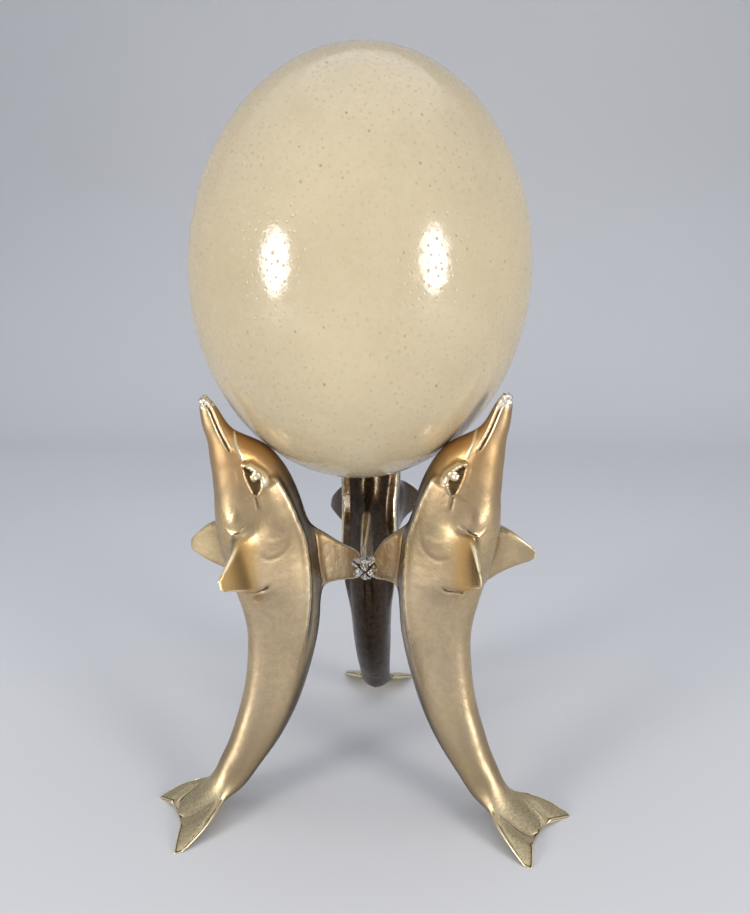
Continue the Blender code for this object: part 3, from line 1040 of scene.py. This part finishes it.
def aged_brass(groups):
    """Polished casting brass gone brown with handling, bright on its worn edges, with painted
    highlights, painted shade, a painted sheen and a painted reflection.
    """
    material, board, shader, place = new_finish("aged_brass")
    lay = board.put("ShaderNodeAttribute", {"attribute_name": "lay"}).outputs["Vector"]
    rough_cast = board.mark("rough_cast")
    matt_and_shade = board.mark("matt_and_shade")
    golden_reflection = board.mark("golden_reflection")
    patches = mottle(board, groups, place, 75.0, 0.38, 0.66, 0.6)
    clouds = mottle(board, groups, place, 420.0, 0.35, 0.7, 0.65)
    grit = mottle(board, groups, place, 1300.0, 0.42, 0.62, 0.7)
    rubbing = use_group(board, groups["rubbing marks"], Place=lay, Stretch=(1.0, 1.0, 0.07),
                        Scale=2600.0)
    flecks = use_group(board, groups["specks"], Place=place, Scale=850.0, Size=0.35,
                       Share=0.45)["Mask"]
    marks_and_painted_light = use_group(board, groups["edge marks and painted light"], Place=place, Breakup=0.35, Scale=900.0)
    # Painted shade on the inner side, faintly mottled; a clear coat keeps its highlights.
    painted_shade = board.times(board.mark("inner"),
                          board.spread(clouds, 0.0, 1.0, 0.95, 1.0))
    spotted = board.times(flecks, board.add_up(0.08, (rough_cast, 0.55)))
    silvered = board.times(board.mark("tip"),
                           board.spread(board.cloud(place, 800.0, 3.0), 0.40, 0.6))

    colour = board.blend(patches, (*BRASS, 1), (*BROWNED_BRASS, 1))
    for mask, strength, tint in (
            # Painted sheen along the torso
            (board.mark("pale"), 0.40, PAINTED_SHEEN_BRASS),
            # Painted shade on duller areas
            (matt_and_shade, 0.85, SHADED_DULL_BRASS),
            (clouds, 0.35, CLOUDED_BRASS),
            (board.mark("forehead"), 0.85, ORANGE_BRASS),
            # Painted reflection on the flippers' outer faces
            (golden_reflection, 0.85, PAINTED_REFLECTION_GOLD),
            # Painted shade on the inner side
            (painted_shade, 1.0, PAINTED_SHADE_BRASS),
            (rough_cast, 0.80, CAST_BRASS),
            (board.times(rough_cast, grit), 0.6, GRIT),
            (spotted, 1.0, FLECKS),
            # Edges worn bright, and painted highlights
            (marks_and_painted_light["Edges and highlights"], 0.85, WORN_AND_HIGHLIGHT_BRASS),
            # Painted shade and grime in hollows
            (marks_and_painted_light["Hollows and shade"], 0.85, GRIME_AND_SHADE),
            (silvered, 1.0, SILVERED_BRASS)):
        colour = board.layer(colour, mask, strength, tint)
    rough = board.add_up(0.25, (patches, 0.07), (clouds, 0.06), (rough_cast, 0.16), (matt_and_shade, 0.25),
                         (marks_and_painted_light["Hollows and shade"], 0.25), (marks_and_painted_light["Edges and highlights"], -0.10), (rubbing["Mask"], 0.10))
    board.feed(shader, Base_Color=colour, Roughness=rough,
               Metallic=board.add_up(1.0, (golden_reflection, -0.5)),
               Coat_Weight=board.times(painted_shade, 0.35), Coat_Roughness=0.07)

    grain = board.add_up(clouds, (rubbing["Height"], 0.35))
    grain = board.add_up(grain, (flecks, board.times(rough_cast, -1.2)))
    bump = board.put("ShaderNodeBump", Strength=0.55, Distance=0.00006, Height=grain)
    board.feed(shader, Normal=bump.outputs["Normal"])
    return material


def bright_solder(groups):
    """Silvery braze, left as it froze."""
    material, board, shader, place = new_finish("bright_solder")
    marks_and_painted_light = use_group(board, groups["edge marks and painted light"], Place=place, Breakup=0.5, Scale=1500.0)
    patches = mottle(board, groups, place, 500.0, 0.4, 0.65, 0.6)
    colour = board.blend(patches, (0.88, 0.86, 0.82, 1), (0.70, 0.64, 0.54, 1))
    # Painted shade and grime in the braze's folds
    colour = board.layer(colour, marks_and_painted_light["Hollows and shade"], 0.85, (0.05, 0.04, 0.03))
    board.feed(shader, Base_Color=colour, Metallic=1.0,
               Roughness=board.add_up(0.27, (marks_and_painted_light["Hollows and shade"], 0.35)))
    bump = board.put("ShaderNodeBump", Strength=0.4, Distance=0.00005,
                     Height=board.cloud(place, 1200.0, 3.0))
    board.feed(shader, Normal=bump.outputs["Normal"])
    return material


def glazed_shell(groups):
    """Cream ostrich shell with its natural gloss, its pores and a little soil in some of them."""
    material, board, shader, place = new_finish("glazed_shell")
    pit = board.mark("pit")
    grains = mottle(board, groups, place, 420.0, 0.3, 0.7, 0.6)
    pores = use_group(board, groups["specks"], Place=place, Scale=1250.0, Size=0.30,
                      Share=0.55)["Mask"]
    colour = board.blend(mottle(board, groups, place, 26.0, 0.35, 0.7, 0.5),
                         (0.475, 0.392, 0.250, 1), (0.52, 0.433, 0.280, 1))
    colour = board.layer(colour, grains, 0.25, (0.56, 0.485, 0.34))
    colour = board.layer(colour, pit, 0.30, (0.40, 0.31, 0.18))
    colour = board.layer(colour, board.mark("soil"), 0.75, (0.23, 0.17, 0.10))
    colour = board.layer(colour, pores, 0.14, (0.45, 0.36, 0.20))
    board.feed(shader, Base_Color=colour,
               Roughness=board.add_up(0.09, (grains, 0.04), (pit, 0.25)),
               Subsurface_Weight=0.12, Subsurface_Scale=1.0,
               Subsurface_Radius=(0.0030, 0.0018, 0.0009))
    fine = board.add_up(board.times(grains, 0.5), (pores, -1.0))
    bump = board.put("ShaderNodeBump", Strength=0.5, Distance=0.00006, Height=fine)
    board.feed(shader, Normal=bump.outputs["Normal"])
    return material


# -------- studio

FLOOR_HALF_WIDTH = 3.0
FLOOR_DEPTH = 0.75
SWEEP_RADIUS = 0.5
WALL_HEIGHT = 2.4
SWEEP_STEPS = 16
EXPOSURE = 0.0
# Each softbox's place and size in metres, and its power in watts
SOFTBOXES = {
    "left_softbox": ((-0.69, -0.66, 0.275), (0.30, 0.42), 6.0),
    "right_softbox": ((0.73, -0.61, 0.265), (0.30, 0.42), 5.8),
    "overhead_softbox": ((0.1, 0.1, 1.6), (1.6, 1.6), 3.5),
}
SOFTBOX_AIM = (0, 0, 0.2)
SOFTBOX_TINT = (1.0, 0.98, 0.95)


def add_backdrop():
    """A plain pale floor that sweeps up behind the object."""
    profile = [(-FLOOR_HALF_WIDTH, 0.0), (FLOOR_DEPTH, 0.0)]
    for step in range(1, SWEEP_STEPS + 1):
        angle = math.pi / 2 * step / SWEEP_STEPS
        profile.append((FLOOR_DEPTH + SWEEP_RADIUS * math.sin(angle),
                        SWEEP_RADIUS * (1 - math.cos(angle))))
    profile.append((FLOOR_DEPTH + SWEEP_RADIUS, WALL_HEIGHT))
    points = [(side * FLOOR_HALF_WIDTH, depth, height)
              for depth, height in profile for side in (-1, 1)]
    faces = [(2 * i, 2 * i + 1, 2 * i + 3, 2 * i + 2) for i in range(len(profile) - 1)]
    mesh = bpy.data.meshes.new("backdrop")
    mesh.from_pydata(points, [], faces)
    mesh.shade_smooth()
    material, board, shader, place = new_finish("pale_paper")
    tone = board.blend(board.cloud(place, 3.0, 2.0), (0.60, 0.60, 0.61, 1), (0.64, 0.64, 0.65, 1))
    board.feed(shader, Base_Color=tone, Roughness=0.75)
    mesh.materials.append(material)
    backdrop = new_object("backdrop", mesh)


def add_softbox(name, place, size, power):
    """An oval lamp that faces the egg."""
    light = bpy.data.lights.new(name, "AREA")
    light.shape = "ELLIPSE"
    light.size, light.size_y = size
    light.energy = power
    light.color = SOFTBOX_TINT
    lamp = new_object(name, light)
    lamp.location = place
    way = Vector(SOFTBOX_AIM) - Vector(place)
    lamp.rotation_euler = way.to_track_quat("-Z", "Y").to_euler()


def light_studio():
    """Two tall softboxes in front, a broad one overhead and a room darker low down."""
    for name, settings in SOFTBOXES.items():
        add_softbox(name, *settings)
    world = bpy.data.worlds.new("room")
    world.use_nodes = True
    bpy.context.scene.world = world
    board = Board(world.node_tree)
    way = board.put("ShaderNodeTexCoord").outputs["Generated"]
    height = board.put("ShaderNodeSeparateXYZ", Vector=way).outputs["Z"]
    tone = board.blend(board.spread(height, -0.1, 0.9), (0.27, 0.28, 0.31, 1),
                       (0.86, 0.92, 1.05, 1))
    background = world.node_tree.nodes["Background"]
    board.feed(background, Color=tone, Strength=0.8)


def add_camera():
    data = bpy.data.cameras.new("camera")
    data.lens = CAMERA_LENS
    data.sensor_width = 36.0
    data.shift_x, data.shift_y = CAMERA_SHIFT
    data.clip_start = 0.01
    data.clip_end = 20.0
    camera = new_object("camera", data)
    back = Vector((
        math.sin(CAMERA_HEADING) * math.cos(CAMERA_RISE),
        -math.cos(CAMERA_HEADING) * math.cos(CAMERA_RISE),
        math.sin(CAMERA_RISE)))
    camera.location = (Vector(CAMERA_AIM) + back * CAMERA_DISTANCE) * MM
    camera.rotation_mode = "QUATERNION"
    roll = Quaternion((0, 0, 1), CAMERA_ROLL)
    camera.rotation_quaternion = (-back).to_track_quat("-Z", "Y") @ roll
    bpy.context.scene.camera = camera


def set_tones():
    """Plain tones, so that the light and the metals keep their contrast."""
    view = bpy.context.scene.view_settings
    view.view_transform = "Standard"
    view.look = "None"
    view.exposure = EXPOSURE


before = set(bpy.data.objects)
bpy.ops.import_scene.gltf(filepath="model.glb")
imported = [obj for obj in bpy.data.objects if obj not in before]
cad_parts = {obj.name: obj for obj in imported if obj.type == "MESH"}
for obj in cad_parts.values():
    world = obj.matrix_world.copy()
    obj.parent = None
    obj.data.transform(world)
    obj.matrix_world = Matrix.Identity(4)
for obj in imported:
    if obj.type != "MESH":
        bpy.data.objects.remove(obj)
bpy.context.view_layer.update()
groups = {
    tree.name: tree
    for tree in (mottling_group(), rubbing_group(), specks_group(), wear_and_painted_light_group())
}
add_camera()
set_tones()
light_studio()
add_backdrop()
add_dolphins(aged_brass(groups))
add_joint(bright_solder(groups))
add_egg(glazed_shell(groups))
